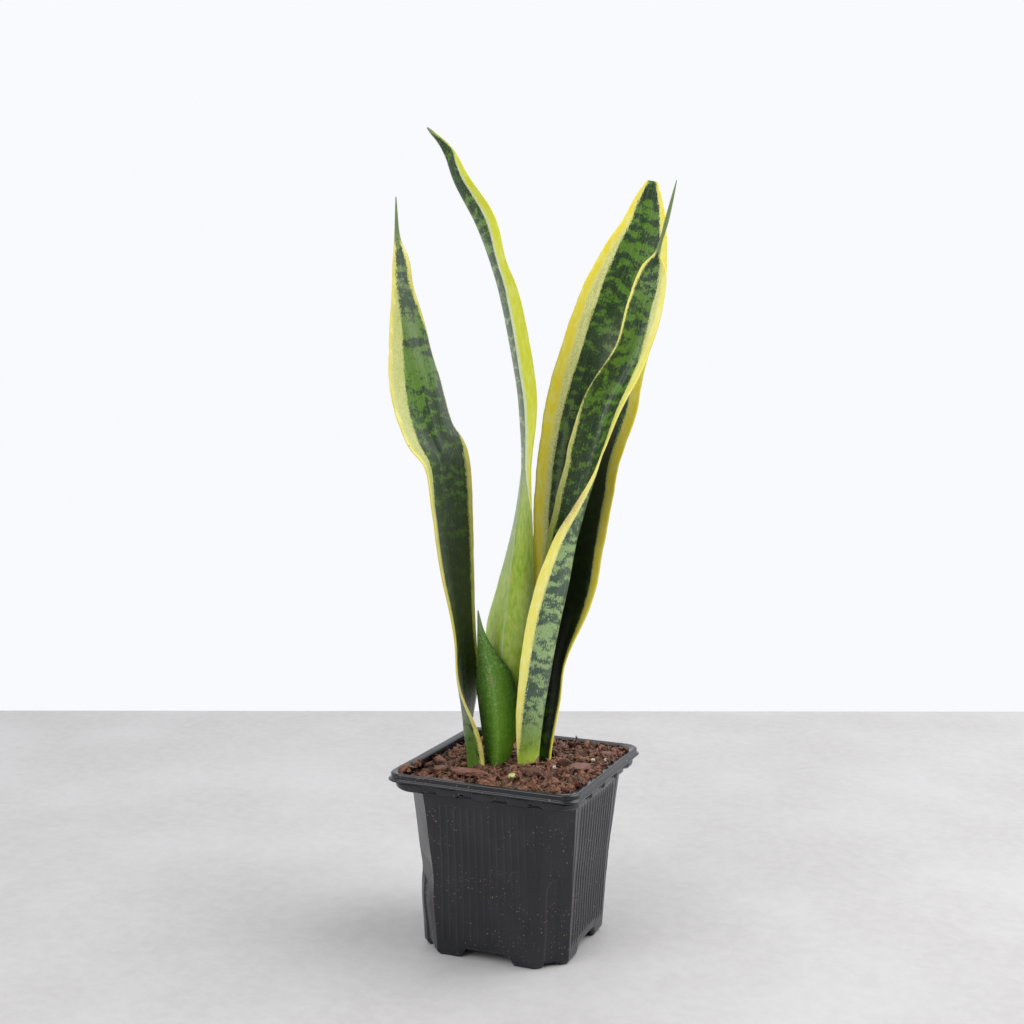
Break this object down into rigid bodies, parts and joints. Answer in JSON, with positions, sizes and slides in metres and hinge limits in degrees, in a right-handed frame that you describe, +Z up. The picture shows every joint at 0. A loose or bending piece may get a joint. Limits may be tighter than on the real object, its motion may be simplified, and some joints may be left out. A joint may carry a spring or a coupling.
{
  "type": "potted snake plant",
  "caption": "Young variegated snake plant with stiff upright sword leaves, growing from potting mix in a thin square nursery pot that stands on its corner feet.",
  "frame": {"origin": "on the surface the pot stands on, under the middle of the whole plant's bounding box", "axes": "+Z up, X and Y along the pot's square sides, -Y towards the pot's front face"},
  "size_m": [0.13, 0.1172, 0.4263],
  "materials": {
    "black_plastic": "thin thermoformed polypropylene, charcoal black, satin, dusty with specks of potting mix",
    "potting_mix": "loose red-brown coir and bark crumbs, matte and slightly moist",
    "green_leaf": "waxy dark green leaf with jagged lighter cross bands and yellow margins",
    "pale_leaf": "waxy yellow-green young leaf with a grey-green keel band",
    "rhizome_skin": "dull orange-brown creeping stem",
    "bark": "rough flat red-brown bark chips",
    "perlite": "chalky off-white expanded mineral grains",
    "pellet": "matte yellow-green slow-release fertiliser pellet"
  },
  "bodies": {
    "root": {"nursery_pot": "black_plastic", "potting_mix": "potting_mix", "rhizome": "rhizome_skin", "leaf_left": "green_leaf", "leaf_tall": "pale_leaf", "leaf_broad": "green_leaf", "leaf_twisted": "green_leaf", "leaf_short": "green_leaf", "bark_chip_1": "bark", "bark_chip_2": "bark", "bark_chip_3": "bark", "bark_chip_4": "bark", "bark_chip_5": "bark", "bark_chip_6": "bark", "perlite_1": "perlite", "perlite_2": "perlite", "perlite_3": "perlite", "perlite_4": "perlite", "perlite_5": "perlite", "fertiliser_pellet": "pellet", "twig_1": "bark", "twig_2": "bark"}
  },
  "joints": []
}
